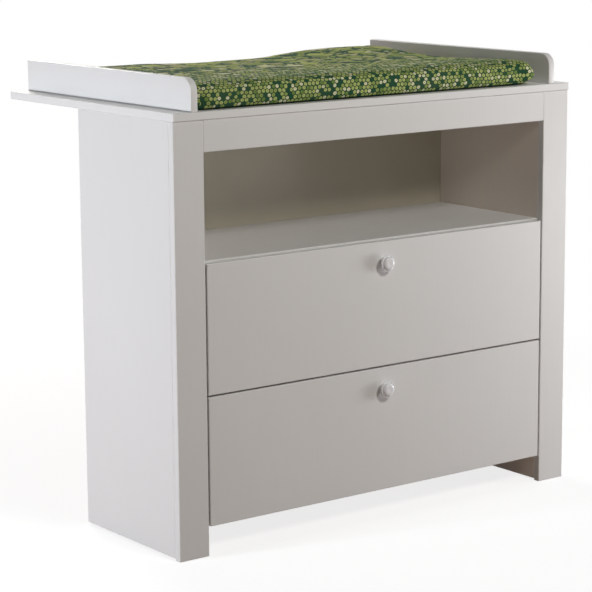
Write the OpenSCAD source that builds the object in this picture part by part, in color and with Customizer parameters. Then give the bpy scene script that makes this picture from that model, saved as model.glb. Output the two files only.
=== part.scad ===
// Changing table: a chest with an open compartment and two drawers, a wide board with
// guard rails on top, and a padded mat on the board.
// Millimetres. Z is up and the front faces -Y. The origin is on the floor, in the middle
// of the whole footprint.

/* [Chest] */
// Width of the chest and of the changing board
chest_w = 1050; // [900:10:1200]
// Depth of the chest, front face to back face
chest_d = 350; // [340:5:450]
// Thickness of the coated chipboard panels
panel_t = 16; // [15:0.5:19]
// Chamfer on the edge banding of every coated panel
edge_c = 1.2; // [0.3:0.1:2]
// Width of the two front stiles
stile_w = 72; // [62:1:100]
// Height of the front rail and of the rear rail
rail_h = 64; // [56:1:90]
// Height of the open space under the lower drawer front
foot_h = 61; // [50:1:90]
// Gap between the side panels and the floor
side_lift = 4; // [3:0.5:8]
// Thickness of the hardboard back
back_t = 3; // [2.5:0.5:5]
// Height of the shelf edge that shows above the upper drawer front
shelf_show = 4; // [2:0.5:10]

/* [Changing board] */
// Height of the changing board's top above the floor
board_z = 900; // [860:5:960]
// Depth of the changing board
board_d = 630; // [560:5:760]
// How far the board stands out in front of the chest
board_nose = 3; // [0:0.5:10]
// Height of the guard rails above the board
guard_h = 66; // [50:1:120]
// Thickness of the guard rails
guard_t = 16; // [12:0.5:22]
// Distance from the board's end to the guard rail
guard_inset = 43; // [20:1:60]
// Distance from the board's front and back edges to the guard rail's ends
guard_setback = 2; // [0:0.5:20]
// Radius of the guard rail's front top corner
guard_round = 27; // [10:1:45]

/* [Changing mat] */
// Thickness of the mat
mat_t = 50; // [35:1:80]
// Radius of the mat's long and short edges
mat_round = 17; // [8:1:17]
// Radius of the mat's corners, seen from above
mat_corner = 28; // [10:1:60]
// Gap between the mat and the left guard rail
mat_gap_left = 6; // [2:1:40]
// Gap between the mat and the right guard rail
mat_gap_right = 31; // [2:1:60]
// Gap between the mat and the board's front edge
mat_gap_front = 11; // [2:1:60]
// Gap between the mat and the board's back edge
mat_gap_back = 49; // [2:1:90]

/* [Drawers] */
// Height of each drawer front
front_h = 266.5; // [220:0.5:280]
// Gap between the drawer fronts and round them
front_gap = 4; // [2:0.5:5]
// Room between the drawer box and the back panel
box_room = 31; // [20:1:60]
// Height of the drawer box's sides
box_h = 160; // [110:1:165]
// Thickness of the drawer box's sides and back
box_t = 12; // [11:0.5:15]
// Height of the drawer box above the lower edge of its front
box_lift = 38; // [36:0.5:45]
// Thickness of the drawer bottom
bottom_t = 3; // [2.5:0.5:5]
// Depth of the grooves that hold the drawer bottom
groove_d = 5; // [3:0.5:7]
// Height of the drawer bottom above the lower edge of the sides
bottom_up = 10; // [8:0.5:14]

/* [Knobs] */
// Diameter of the knob
knob_d = 37; // [28:1:45]
// How far the knob stands out from the drawer front
knob_out = 22; // [18:1:30]
// Distance from the top of the drawer front to the middle of the knob
knob_drop = 45; // [35:1:60]
// Diameter of the knob's neck
knob_neck_d = 18; // [14:0.5:22]
// Diameter of the knob's screw
knob_screw_d = 4; // [3:0.5:5]

/* [Runners] */
// Room for the runner between the drawer box and the chest wall
runner_gap = 12.5; // [12.5:0.5:15]
// Thickness of the runner's sheet steel
sheet_t = 1.2; // [1:0.1:1.5]
// Diameter of the runner rollers
roller_d = 17; // [15:0.5:19]
// Width of the runner rollers
roller_w = 7; // [5:0.5:7.5]
// Diameter of the roller pins
pin_d = 5; // [4:0.5:6]
// Height of the roller's middle above the drawer box's lower edge
roller_up = 10; // [10:0.5:14]
// Distance from the runner's end to its roller
roller_in = 14; // [12:1:20]

/* [Fixings] */
// Diameter of the wooden dowels
dowel_d = 8; // [6:1:10]
// Length of the wooden dowels
dowel_l = 30; // [25:1:40]
// Diameter of the cam nuts
cam_d = 15; // [12:0.5:18]
// Height of the cam nuts
cam_h = 12.5; // [12:0.5:13.5]
// Distance from the end of a panel to the middle of its cam nut
cam_set = 34; // [24:1:40]
// Diameter of the cam bolts
bolt_d = 5; // [4:0.5:6]
// Length of leg of the small angle brackets under the board
angle_leg = 25; // [20:1:35]
// Width of the small angle brackets
angle_w = 20; // [16:1:30]
// Thickness of the bracket steel
angle_t = 1.5; // [1.2:0.1:2.5]
// Diameter of the bracket screws
screw_d = 4; // [3:0.5:4.5]
// Length of the bracket screws
screw_l = 14; // [10:0.5:14]
// Length of leg of the wall brackets
wall_leg = 34; // [30:1:60]
// Width of the wall brackets
wall_w = 30; // [26:1:50]
// Diameter of the hole that takes the wall screw
wall_hole_d = 5.5; // [4:0.5:7]
// Distance between the two wall brackets
wall_pitch = 670; // [500:10:800]
// Diameter of the glides under the rear of the side panels
glide_d = 14; // [10:1:16]

/* [Hidden] */
$fn = 48;

// Clearances
fit_gap = 0.05;    // round a fastener, and between a roller and its pin
soft_gap = 0.3;    // under the mat
roll_gap = 0.3;    // between a roller and the lip it runs on
stop_gap = 1;      // between a closed drawer front and the shelf or base behind it
groove_gap = 0.1;  // round the drawer bottom in its groove
cut = 1;           // how far a bore runs on past a face
sides = [-1, 1];

// The chest's main planes
outer_x = chest_w / 2;
inner_x = outer_x - stile_w;
board_back = board_d - board_nose;
front_y = (knob_out - board_back) / 2;
board_front_y = front_y - board_nose;
board_back_y = front_y + board_back;
carcass_y = front_y + panel_t;
back_y = front_y + chest_d;
back_face_y = back_y - back_t;
under_board = board_z - panel_t;
rail_mid_z = under_board - rail_h / 2;

// Heights: base panel, drawers and shelf
base_z = foot_h + 2;
lower_z = foot_h;
upper_z = lower_z + front_h + front_gap;
shelf_z = upper_z + front_h + shelf_show - panel_t;

// Guard rails and mat
guard_x = outer_x - guard_inset - guard_t / 2;
guard_y0 = board_front_y + guard_setback;
guard_l = board_d - 2 * guard_setback;
guard_screw_d = 4;
guard_screw_l = 40;
guard_screw_end = 60;

// Drawer box
front_x = inner_x - front_gap;
box_x = inner_x - runner_gap;
box_in_x = box_x - box_t;
box_d = back_face_y - box_room - carcass_y;
box_y1 = carcass_y + box_d;
box_back_y = box_y1 - box_t;

// Runners: the drawer's lip runs on the cabinet roller, and the drawer's roller runs on
// the cabinet's lower lip.
roller_r = roller_d / 2;
roller_play = 0.4;
pin_l = roller_w + 2 * roller_play;
pin_head_r = 4;
pin_head_t = 0.9;
cabinet_runner_y0 = carcass_y + 2;
cabinet_roller_y = cabinet_runner_y0 + roller_in;
drawer_runner_y0 = carcass_y + 1;
drawer_roller_y = box_y1 - roller_in;
lower_lip_w = 9.5;
upper_lip_w = 6;
upper_lip_start = 40;
lip_room = 0.8;
drawer_lip_w = 8.7;
flange_w = box_t;
lip_low = roller_r + roll_gap;
runner_screw_at = [45, box_d - 68];
runner_screw_r = 2.5;
runner_screw_l = 11;
runner_screw_head_r = 4;
runner_screw_head_t = 1;
flange_screw_at = [40, box_d - 85];
flange_screw_r = 1.75;
flange_screw_l = 9;
flange_screw_head_r = 3.5;
flange_screw_head_t = 1.6;

// Cam fittings and dowels
bolt_in = 10;
bolt_head_d = 7;
bolt_head_l = 3;
dowel_in = 11;
dowel_c = 1;
panel_cam_y = [carcass_y + 60, back_face_y - 60];
panel_dowel_y = (carcass_y + back_face_y) / 2;
rail_dowel_dz = 20;
stile_dowel_end = 30;
stile_dowel_z = [foot_h, (foot_h + under_board) / 2, under_board - rail_h - stile_dowel_end];
box_cam_d = 12;
box_cam_h = 9.5;
box_cam_set = 24;
box_cam_up = [45, box_h - 30];
confirmat_r = 2.5;
confirmat_l = 42;
confirmat_head_r = 4.5;
confirmat_head_t = 3;

// Knob
knob_r = knob_d / 2;
knob_neck_l = 7;
knob_rim_t = 3;
knob_rim_z = knob_out - 6.5;
knob_dome_r = knob_r - 4.3;
knob_dome_h = 4;
knob_screw_in = 10;
knob_screw_head_r = 4;
knob_screw_head_t = 2.5;

// Brackets and small screws
angle_x = 250;
angle_screw_at = angle_leg * 0.6;
screw_head_r = 3.6;
screw_head_t = 1.8;
wall_t = 2;
wall_hole_down = 20;
wall_screw_dx = 8;
back_screw_r = 1.5;
back_screw_l = 15;
back_screw_head_r = 3.5;
back_screw_head_t = 1.5;
back_screw_x = [-300, 0, 300];
back_screw_end = 20;
glide_in = 30;
glide_nail_r = 1.5;
glide_nail_l = 14;

white = [0.93, 0.93, 0.92];
board_grey = [0.80, 0.74, 0.64];
zinc = [0.72, 0.73, 0.75];
epoxy = [0.90, 0.89, 0.85];
nylon = [0.95, 0.95, 0.93];
beech = [0.82, 0.66, 0.45];
green = [0.27, 0.42, 0.20];

// Directions are named by their axis, such as "+x".
function dir(axis) = axis == "+x" ? [1, 0, 0] : axis == "-x" ? [-1, 0, 0]
    : axis == "+y" ? [0, 1, 0] : axis == "-y" ? [0, -1, 0]
    : axis == "+z" ? [0, 0, 1] : [0, 0, -1];
function turn(axis) = axis == "+x" ? [0, 90, 0] : axis == "-x" ? [0, -90, 0]
    : axis == "+y" ? [-90, 0, 0] : axis == "-y" ? [90, 0, 0]
    : axis == "+z" ? [0, 0, 0] : [180, 0, 0];
function inward(s) = s > 0 ? "-x" : "+x";
function outward(s) = s > 0 ? "+x" : "-x";

// ---- shared shapes ----

// A box between two corners.
module block(lo, hi) translate(lo) cube(hi - lo);

// A rod that starts at p and runs along an axis.
module rod(p, axis, r, l) translate(p) rotate(turn(axis)) cylinder(r = r, h = l);

// A cone or countersink that starts at p and runs along an axis.
module taper(p, axis, r1, r2, l) translate(p) rotate(turn(axis)) cylinder(r1 = r1, r2 = r2, h = l);

// An edge-banded panel between two corners, with every edge chamfered.
function cut_corners(w, h) = [[edge_c, 0], [w - edge_c, 0], [w, edge_c], [w, h - edge_c],
                              [w - edge_c, h], [edge_c, h], [0, h - edge_c], [0, edge_c]];
module panel(lo, hi) {
    size = hi - lo;
    translate(lo) intersection() {
        linear_extrude(size.z) polygon(cut_corners(size.x, size.y));
        rotate([90, 0, 90]) linear_extrude(size.x) polygon(cut_corners(size.y, size.z));
        translate([0, size.y, 0]) rotate([90, 0, 0])
            linear_extrude(size.y) polygon(cut_corners(size.x, size.z));
    }
}

// Draws for the right side, or mirrored for the left.
module on_side(s) {
    if (s > 0) children();
    else mirror([1, 0, 0]) children();
}

// A screw with a flat round head. p is under the head, and the shank runs along axis.
module screw(p, axis, r, l, head_r, head_t) {
    rod(p, axis, r, l);
    rod(p - dir(axis) * head_t, axis, head_r, head_t);
}

// ---- dowels: [point on the joint, axis away from the panel that is drilled first] ----

function stile_dowels(s) = [for (x = [outer_x, inner_x + panel_t], z = stile_dowel_z)
    [[s * (x - panel_t / 2), carcass_y, z], "+y"]];
function front_rail_dowels(s) = [for (dz = sides)
    [[s * inner_x, front_y + panel_t / 2, rail_mid_z + dz * rail_dowel_dz], inward(s)]];
function rear_rail_dowels(s) = [for (dz = sides)
    [[s * inner_x, back_face_y - panel_t / 2, rail_mid_z + dz * rail_dowel_dz], inward(s)]];
function level_dowels(s, z) = [[[s * inner_x, panel_dowel_y, z + panel_t / 2], inward(s)]];

module dowel_bores(list)
    for (d = list)
        rod(d[0] - dir(d[1]) * (dowel_in + cut), d[1], dowel_d / 2 + fit_gap, dowel_l + 2 * cut);

module dowel_pins(list)
    for (d = list)
        translate(d[0] - dir(d[1]) * dowel_in) rotate(turn(d[1])) rotate_extrude()
            polygon([[0, 0], [dowel_d / 2 - dowel_c, 0], [dowel_d / 2, dowel_c],
                     [dowel_d / 2, dowel_l - dowel_c], [dowel_d / 2 - dowel_c, dowel_l],
                     [0, dowel_l]]);

// ---- cam fittings: [point on the joint, axis into the panel with the cam, cam's open face] ----

function level_cams(s, z) = [for (y = panel_cam_y)
    [[s * inner_x, y, z + panel_t / 2], inward(s), "-z"]];
function front_rail_cams(s) = [[[s * inner_x, front_y + panel_t / 2, rail_mid_z], inward(s), "+y"]];
function rear_rail_cams(s) = [[[s * inner_x, back_face_y - panel_t / 2, rail_mid_z],
                               inward(s), "-y"]];

module bolt_bores(list, set = cam_set)
    for (c = list)
        rod(c[0] - dir(c[1]) * (bolt_in + cut), c[1], bolt_head_d / 2 + fit_gap,
            bolt_in + cut + set);

module cam_bores(list, d = cam_d, h = cam_h, set = cam_set, t = panel_t)
    for (c = list)
        rod(c[0] + dir(c[1]) * set + dir(c[2]) * (t / 2 - h), c[2], d / 2 + fit_gap, h + cut);

module bolts(list, set = cam_set)
    for (c = list) {
        rod(c[0] - dir(c[1]) * bolt_in, c[1], bolt_head_d / 2, bolt_in);
        rod(c[0], c[1], bolt_d / 2, set);
        rod(c[0] + dir(c[1]) * (set - bolt_head_l), c[1], bolt_head_d / 2, bolt_head_l);
    }

module cams(list, d = cam_d, h = cam_h, set = cam_set, t = panel_t)
    for (c = list)
        difference() {
            rod(c[0] + dir(c[1]) * set + dir(c[2]) * (t / 2 - h), c[2], d / 2, h);
            rod(c[0], c[1], bolt_head_d / 2 + fit_gap, set + bolt_head_l / 2);
            translate(c[0] + dir(c[1]) * set + dir(c[2]) * (t / 2)) rotate(turn(c[2]))
                for (a = [0, 90]) rotate([0, 0, a]) cube([d * 0.6, 1.5, 3], center = true);
        }

// ---- changing board and guard rails ----

function guard_screws() = [for (s = sides,
    y = [guard_y0 + guard_screw_end, guard_y0 + guard_l / 2, guard_y0 + guard_l - guard_screw_end])
    [s * guard_x, y, under_board]];
function angle_frames() = concat(
    [for (x = [-angle_x, angle_x]) [[x, carcass_y, under_board], "+y"]],
    [for (x = [-angle_x, angle_x]) [[x, back_face_y - panel_t, under_board], "-y"]],
    [for (s = sides) [[s * inner_x, (carcass_y + back_face_y) / 2, under_board], inward(s)]]);
function wall_places() = [for (s = sides) [s * wall_pitch / 2, board_back_y, under_board]];
function wall_screws() = [for (p = wall_places(), dx = [-wall_screw_dx, wall_screw_dx])
    p + [dx, -wall_leg / 2, -wall_t]];

module changing_board()
    color(white) difference() {
        panel([-outer_x, board_front_y, under_board], [outer_x, board_back_y, board_z]);
        for (p = guard_screws()) {
            rod(p - [0, 0, cut], "+z", guard_screw_d / 2 + fit_gap, panel_t + 2 * cut);
            taper(p - [0, 0, fit_gap], "+z", guard_screw_d + 2 * fit_gap, guard_screw_d / 2,
                  guard_screw_d / 2 + 2 * fit_gap);
        }
        for (a = angle_frames())
            rod(a[0] + dir(a[1]) * angle_screw_at - [0, 0, cut], "+z", screw_d / 2 + fit_gap,
                screw_l - angle_t + 2 * cut);
        for (p = wall_screws())
            rod(p, "+z", screw_d / 2 + fit_gap, screw_l + cut);
    }

module guard_rail(s)
    color(white) difference() {
        translate([s * guard_x - guard_t / 2, guard_y0, board_z]) rotate([90, 0, 90])
            linear_extrude(guard_t) intersection() {
                square([guard_l, guard_h]);
                union() {
                    translate([guard_round, 0]) square([guard_l - guard_round, guard_h]);
                    square([guard_round, guard_h - guard_round]);
                    translate([guard_round, guard_h - guard_round]) circle(r = guard_round);
                }
            }
        for (p = guard_screws())
            if (p.x * s > 0)
                rod(p, "+z", guard_screw_d / 2 + fit_gap, guard_screw_l + cut);
    }
module guard_rail_left() guard_rail(-1);
module guard_rail_right() guard_rail(1);

module guard_rail_screws()
    color(zinc) for (p = guard_screws()) {
        rod(p, "+z", guard_screw_d / 2, guard_screw_l);
        taper(p, "+z", guard_screw_d, guard_screw_d / 2, guard_screw_d / 2);
    }

// ---- angle brackets under the board, and wall brackets at its back edge ----

// An angle with one leg under the board and one down the face behind the axis.
module angle(a) translate(a[0]) rotate([0, 0, atan2(dir(a[1]).y, dir(a[1]).x)]) difference() {
    union() {
        block([0, -angle_w / 2, -angle_t], [angle_leg, angle_w / 2, 0]);
        block([0, -angle_w / 2, -angle_leg], [angle_t, angle_w / 2, 0]);
    }
    rod([angle_screw_at, 0, -angle_t - cut], "+z", screw_d / 2 + fit_gap, angle_t + 2 * cut);
    rod([-cut, 0, -angle_screw_at], "+x", screw_d / 2 + fit_gap, angle_t + 2 * cut);
}

module angle_brackets()
    color(zinc) for (a = angle_frames()) angle(a);

module angle_bracket_screws()
    color(zinc) for (a = angle_frames())
        translate(a[0]) rotate([0, 0, atan2(dir(a[1]).y, dir(a[1]).x)]) {
            screw([angle_screw_at, 0, -angle_t], "+z", screw_d / 2, screw_l, screw_head_r,
                  screw_head_t);
            screw([angle_t, 0, -angle_screw_at], "-x", screw_d / 2, screw_l, screw_head_r,
                  screw_head_t);
        }

// The bores that the angle brackets' upright screws need in the panel behind.
module angle_bores(list)
    for (a = list)
        rod(a[0] + dir(a[1]) * cut - [0, 0, angle_screw_at],
            a[1] == "+y" ? "-y" : a[1] == "-y" ? "+y" : a[1] == "+x" ? "-x" : "+x",
            screw_d / 2 + fit_gap, screw_l - angle_t + 2 * cut);

module wall_brackets()
    color(zinc) for (p = wall_places()) translate(p) difference() {
        union() {
            block([-wall_w / 2, -wall_leg, -wall_t], [wall_w / 2, 0, 0]);
            block([-wall_w / 2, -wall_t, -wall_leg], [wall_w / 2, 0, 0]);
        }
        rod([0, -wall_t - cut, -wall_hole_down], "+y", wall_hole_d / 2, wall_t + 2 * cut);
        for (dx = [-wall_screw_dx, wall_screw_dx])
            rod([dx, -wall_leg / 2, -wall_t - cut], "+z", screw_d / 2 + fit_gap, wall_t + 2 * cut);
    }

module wall_bracket_screws()
    color(zinc) for (p = wall_screws())
        screw(p, "+z", screw_d / 2, screw_l, screw_head_r, screw_head_t);

// ---- carcass: outer sides, inner sides, battens, stiles ----

function back_edge_screws() = [for (s = sides, k = [0 : 4])
    [s * (inner_x + panel_t / 2), back_y,
     base_z + panel_t + (under_board - rail_h - back_screw_end - base_z - panel_t) * k / 4]];
function back_row_screws(z) = [for (x = back_screw_x) [x, back_y, z]];
function back_screws() = concat(back_edge_screws(), back_row_screws(shelf_z + panel_t / 2),
                                back_row_screws(base_z + panel_t / 2),
                                back_row_screws(rail_mid_z));

module back_screw_bores(list)
    for (p = list)
        rod(p + [0, cut, 0], "-y", back_screw_r + fit_gap, back_screw_l + 2 * cut);

module side_panel(s)
    color(white) difference() {
        panel([min(s * outer_x, s * (outer_x - panel_t)), carcass_y, side_lift],
              [max(s * outer_x, s * (outer_x - panel_t)), back_y, under_board]);
        dowel_bores([for (d = stile_dowels(s)) if (abs(d[0].x) > outer_x - panel_t) d]);
    }
module side_panel_left() side_panel(-1);
module side_panel_right() side_panel(1);

module inner_side(s)
    color(white) difference() {
        panel([min(s * inner_x, s * (inner_x + panel_t)), carcass_y, side_lift],
              [max(s * inner_x, s * (inner_x + panel_t)), back_face_y, under_board]);
        dowel_bores([for (d = stile_dowels(s)) if (abs(d[0].x) < inner_x + panel_t) d]);
        dowel_bores(concat(level_dowels(s, shelf_z), level_dowels(s, base_z), rear_rail_dowels(s)));
        bolt_bores(concat(level_cams(s, shelf_z), level_cams(s, base_z), rear_rail_cams(s)));
        angle_bores([for (a = angle_frames()) if (a[1] == inward(s)) a]);
        back_screw_bores([for (p = back_edge_screws()) if (p.x * s > 0) p]);
        for (z = [lower_z, upper_z], y = runner_screw_at)
            rod([s * (inner_x - cut), cabinet_runner_y0 + y, z + box_lift + roller_up], outward(s),
                runner_screw_r + fit_gap, runner_screw_l + 2 * cut);
        rod([s * (inner_x + panel_t / 2), back_face_y - glide_in, side_lift - cut], "+z",
            glide_nail_r + fit_gap, glide_nail_l + 2 * cut);
    }
module inner_side_left() inner_side(-1);
module inner_side_right() inner_side(1);

// Three spacers hold the outer and the inner side apart: under the board, level with the
// shelf and near the floor.
module side_battens(s)
    color(board_grey) for (z = [side_lift + panel_t, shelf_z, under_board - panel_t])
        block([min(s * (inner_x + panel_t), s * (outer_x - panel_t)), carcass_y, z],
              [max(s * (inner_x + panel_t), s * (outer_x - panel_t)), back_face_y, z + panel_t]);
module side_battens_left() side_battens(-1);
module side_battens_right() side_battens(1);

module stile(s)
    color(white) difference() {
        panel([min(s * outer_x, s * inner_x), front_y, 0],
              [max(s * outer_x, s * inner_x), carcass_y, under_board]);
        dowel_bores(concat(stile_dowels(s), front_rail_dowels(s)));
        bolt_bores(front_rail_cams(s));
    }
module stile_left() stile(-1);
module stile_right() stile(1);

// ---- rails, shelf, base and back ----

module front_rail()
    color(white) difference() {
        panel([-inner_x, front_y, under_board - rail_h], [inner_x, carcass_y, under_board]);
        for (s = sides) {
            dowel_bores(front_rail_dowels(s));
            bolt_bores(front_rail_cams(s));
            cam_bores(front_rail_cams(s));
        }
        angle_bores([for (a = angle_frames()) if (a[1] == "+y") a]);
    }

module rear_rail()
    color(white) difference() {
        panel([-inner_x, back_face_y - panel_t, under_board - rail_h],
              [inner_x, back_face_y, under_board]);
        for (s = sides) {
            dowel_bores(rear_rail_dowels(s));
            bolt_bores(rear_rail_cams(s));
            cam_bores(rear_rail_cams(s));
        }
        angle_bores([for (a = angle_frames()) if (a[1] == "-y") a]);
        back_screw_bores(back_row_screws(rail_mid_z));
    }

// A level panel between the inner sides, with cams from below and dowels in its ends.
module level_panel(z)
    color(white) difference() {
        panel([-inner_x, carcass_y + stop_gap, z], [inner_x, back_face_y, z + panel_t]);
        for (s = sides) {
            dowel_bores(level_dowels(s, z));
            bolt_bores(level_cams(s, z));
            cam_bores(level_cams(s, z));
        }
        back_screw_bores(back_row_screws(z + panel_t / 2));
    }
module shelf() level_panel(shelf_z);
module base_panel() level_panel(base_z);

module back_panel()
    color(white) difference() {
        block([-outer_x + panel_t + groove_gap, back_face_y, base_z],
              [outer_x - panel_t - groove_gap, back_y, under_board]);
        back_screw_bores(back_screws());
    }

module back_panel_screws()
    color(zinc) for (p = back_screws())
        screw(p, "-y", back_screw_r, back_screw_l, back_screw_head_r, back_screw_head_t);

module floor_glides()
    color(nylon) for (s = sides) {
        rod([s * (inner_x + panel_t / 2), back_face_y - glide_in, 0], "+z", glide_d / 2, side_lift);
        rod([s * (inner_x + panel_t / 2), back_face_y - glide_in, 0], "+z", glide_nail_r,
            side_lift + glide_nail_l);
    }

function all_cams() = [for (s = sides) each concat(level_cams(s, shelf_z), level_cams(s, base_z),
                                                   front_rail_cams(s), rear_rail_cams(s))];
module cam_bolts() color(zinc) bolts(all_cams());
module cam_nuts() color(zinc) cams(all_cams());

module dowels()
    color(beech) for (s = sides)
        dowel_pins(concat(stile_dowels(s), front_rail_dowels(s), rear_rail_dowels(s),
                          level_dowels(s, shelf_z), level_dowels(s, base_z)));

// ---- changing mat ----

// An outline with round corners.
module rounded(w, h, r) union() {
    translate([r, 0]) square([w - 2 * r, h]);
    translate([0, r]) square([w, h - 2 * r]);
    for (x = [r, w - r], y = [r, h - r]) translate([x, y]) circle(r = r);
}

module changing_mat() {
    lo = [-guard_x + guard_t / 2 + mat_gap_left, board_front_y + mat_gap_front,
          board_z + soft_gap];
    size = [guard_x - guard_t / 2 - mat_gap_right, board_back_y - mat_gap_back,
            board_z + soft_gap + mat_t] - lo;
    color(green) translate(lo) intersection() {
        linear_extrude(size.z) rounded(size.x, size.y, mat_corner);
        rotate([90, 0, 90]) linear_extrude(size.x) rounded(size.y, size.z, mat_round);
        translate([0, size.y, 0]) rotate([90, 0, 0])
            linear_extrude(size.y) rounded(size.x, size.z, mat_round);
    }
}

// ---- runners and rollers; z is the lower edge of the drawer box ----

// A pin with a head that keeps its roller on.
module roller_pin(p, axis) {
    rod(p, axis, pin_d / 2, sheet_t + pin_l);
    rod(p + dir(axis) * (sheet_t + pin_l), axis, pin_head_r, pin_head_t);
}

module roller(p, axis)
    color(nylon) translate(p + dir(axis) * (sheet_t + roller_play)) rotate(turn(axis))
        rotate_extrude() polygon([[pin_d / 2 + fit_gap, 0], [roller_r - edge_c, 0],
            [roller_r, edge_c], [roller_r, roller_w - edge_c], [roller_r - edge_c, roller_w],
            [pin_d / 2 + fit_gap, roller_w]]);

module cabinet_runner(s, z)
    color(epoxy) on_side(s) difference() {
        mid = z + roller_up;
        low = mid - lip_low - sheet_t;
        high = mid + lip_low + 2 * sheet_t + lip_room;
        y0 = cabinet_runner_y0;
        y1 = y0 + box_d;
        union() {
            block([inner_x - sheet_t, y0, low], [inner_x, y1, high]);
            block([inner_x - lower_lip_w, y0, low], [inner_x, y1, low + sheet_t]);
            block([inner_x - upper_lip_w, y0 + upper_lip_start, high - sheet_t],
                  [inner_x, y1, high]);
            roller_pin([inner_x, cabinet_roller_y, mid], "-x");
        }
        for (y = runner_screw_at)
            rod([inner_x + cut, y0 + y, mid], "-x", runner_screw_r + fit_gap, sheet_t + 2 * cut);
    }

module cabinet_roller(s, z)
    on_side(s) roller([inner_x, cabinet_roller_y, z + roller_up], "-x");

module drawer_runner(s, z)
    color(epoxy) on_side(s) difference() {
        mid = z + roller_up;
        high = mid + lip_low + sheet_t;
        y0 = drawer_runner_y0;
        union() {
            block([box_x, y0, z - sheet_t], [box_x + sheet_t, box_y1, high]);
            block([box_x - flange_w, y0, z - sheet_t], [box_x + sheet_t, box_y1, z]);
            block([box_x, y0, high - sheet_t], [box_x + drawer_lip_w + sheet_t, box_y1, high]);
            roller_pin([box_x, drawer_roller_y, mid], "+x");
        }
        for (y = flange_screw_at)
            rod([box_x - box_t / 2, y0 + y, z - sheet_t - cut], "+z", flange_screw_r + fit_gap,
                sheet_t + 2 * cut);
    }

module drawer_roller(s, z)
    on_side(s) roller([box_x, drawer_roller_y, z + roller_up], "+x");

module cabinet_runner_screws()
    color(zinc) for (s = sides, z = [lower_z, upper_z], y = runner_screw_at)
        screw([s * (inner_x - sheet_t), cabinet_runner_y0 + y, z + box_lift + roller_up],
              outward(s), runner_screw_r, sheet_t + runner_screw_l, runner_screw_head_r,
              runner_screw_head_t);

// ---- drawers; z is the lower edge of the drawer front ----

function box_cams(s, z) = [for (up = box_cam_up)
    [[s * (box_x - box_t / 2), carcass_y, z + box_lift + up], "+y", inward(s)]];
function confirmats(s, z) = [for (up = box_cam_up)
    [s * box_x, box_y1 - box_t / 2, z + box_lift + up]];

module knob_bore(z)
    rod([0, front_y - cut, z + front_h - knob_drop], "+y", knob_screw_d / 2 + fit_gap,
        panel_t + 2 * cut);

// The space that the drawer bottom takes, grown by a gap where it cuts its grooves.
module bottom_sheet(z, gap) {
    low = z + box_lift + bottom_up;
    block([-box_in_x - groove_d - gap, carcass_y - groove_d - gap, low - gap],
          [box_in_x + groove_d + gap, box_back_y + groove_d + gap, low + bottom_t + gap]);
}

module drawer_front(z)
    color(white) difference() {
        panel([-front_x, front_y, z], [front_x, carcass_y, z + front_h]);
        bottom_sheet(z, groove_gap);
        knob_bore(z);
        for (s = sides) bolt_bores(box_cams(s, z), box_cam_set);
    }

module drawer_side(s, z)
    color(white) difference() {
        block([min(s * box_x, s * box_in_x), carcass_y, z + box_lift],
              [max(s * box_x, s * box_in_x), box_y1, z + box_lift + box_h]);
        bottom_sheet(z, groove_gap);
        bolt_bores(box_cams(s, z), box_cam_set);
        cam_bores(box_cams(s, z), box_cam_d, box_cam_h, box_cam_set, box_t);
        for (p = confirmats(s, z)) {
            rod(p + dir(outward(s)) * cut, inward(s), confirmat_r + fit_gap, box_t + 2 * cut);
            rod(p + dir(outward(s)) * cut, inward(s), confirmat_head_r + fit_gap,
                confirmat_head_t + cut);
        }
        for (y = flange_screw_at)
            rod([s * (box_x - box_t / 2), drawer_runner_y0 + y, z + box_lift - cut], "+z",
                flange_screw_r + fit_gap, flange_screw_l + cut);
    }

module drawer_back(z)
    color(white) difference() {
        block([-box_in_x, box_back_y, z + box_lift], [box_in_x, box_y1, z + box_lift + box_h]);
        bottom_sheet(z, groove_gap);
        for (s = sides, p = confirmats(s, z))
            rod(p, inward(s), confirmat_r + fit_gap, confirmat_l + cut);
    }

module drawer_bottom(z) color(white) bottom_sheet(z, 0);

// A turned knob: neck, flared rim, a groove, and a domed face that stands out from the rim.
module knob(z)
    color(nylon) translate([0, front_y, z + front_h - knob_drop]) rotate(turn("-y"))
        difference() {
            rotate_extrude() polygon(concat(
                [[0, 0], [knob_neck_d / 2, 0], [knob_neck_d / 2, knob_neck_l]],
                [[knob_r - 1, knob_rim_z - knob_rim_t], [knob_r, knob_rim_z - knob_rim_t + 1],
                 [knob_r, knob_rim_z - 1], [knob_r - 1, knob_rim_z],
                 [knob_dome_r + 1, knob_rim_z], [knob_dome_r, knob_rim_z - 1]],
                [for (a = [0 : 10 : 90]) [knob_dome_r * cos(a),
                    knob_out - knob_dome_h + knob_dome_h * sin(a)]]));
            translate([0, 0, -cut]) cylinder(r = knob_screw_d / 2 + fit_gap,
                                             h = knob_screw_in + 2 * cut);
        }

module knob_screw(z)
    color(zinc) screw([0, carcass_y, z + front_h - knob_drop], "-y", knob_screw_d / 2,
                      panel_t + knob_screw_in, knob_screw_head_r, knob_screw_head_t);

module drawer_fixings(z)
    color(zinc) for (s = sides) {
        bolts(box_cams(s, z), box_cam_set);
        cams(box_cams(s, z), box_cam_d, box_cam_h, box_cam_set, box_t);
        for (p = confirmats(s, z))
            screw(p + dir(inward(s)) * confirmat_head_t, inward(s), confirmat_r,
                  confirmat_l - confirmat_head_t, confirmat_head_r, confirmat_head_t);
        for (y = flange_screw_at)
            screw([s * (box_x - box_t / 2), drawer_runner_y0 + y, z + box_lift - sheet_t], "+z",
                  flange_screw_r, flange_screw_l, flange_screw_head_r, flange_screw_head_t);
    }

// ---- what is drawn ----

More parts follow.
